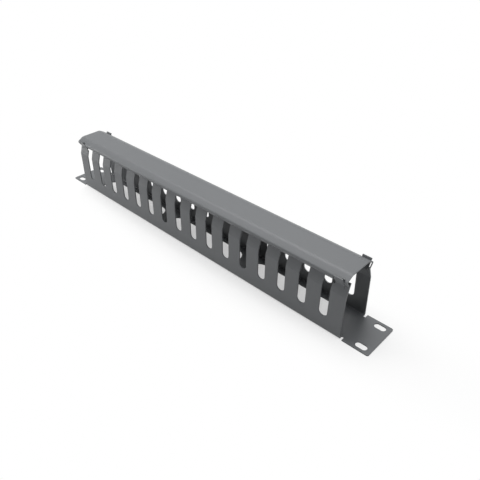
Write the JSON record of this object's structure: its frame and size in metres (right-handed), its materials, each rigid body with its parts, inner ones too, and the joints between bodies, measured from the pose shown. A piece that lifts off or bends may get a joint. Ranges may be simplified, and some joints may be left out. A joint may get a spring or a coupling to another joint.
{
  "type": "horizontal cable manager",
  "caption": "Rack-width steel cable trough with slotted finger walls, slotted mounting ears and a folded snap-fit cover with sloping shoulders.",
  "frame": {"origin": "middle of the panel's rear face, which lies against the rack rails", "axes": "+X along the panel, +Y across it, +Z away from the rack towards the cover"},
  "size_m": [0.4826, 0.044, 0.0702],
  "materials": {
    "powder_coat": "black fine-texture powder coat on folded steel, satin"
  },
  "bodies": {
    "trough": {"cable_trough": "powder_coat"},
    "cover": {"snap_cover": "powder_coat"}
  },
  "joints": [
    {"name": "cover_lift", "type": "slide", "parent": "trough", "child": "cover", "axis": [0, 0, 1], "range_m": [0, 0.05]}
  ]
}
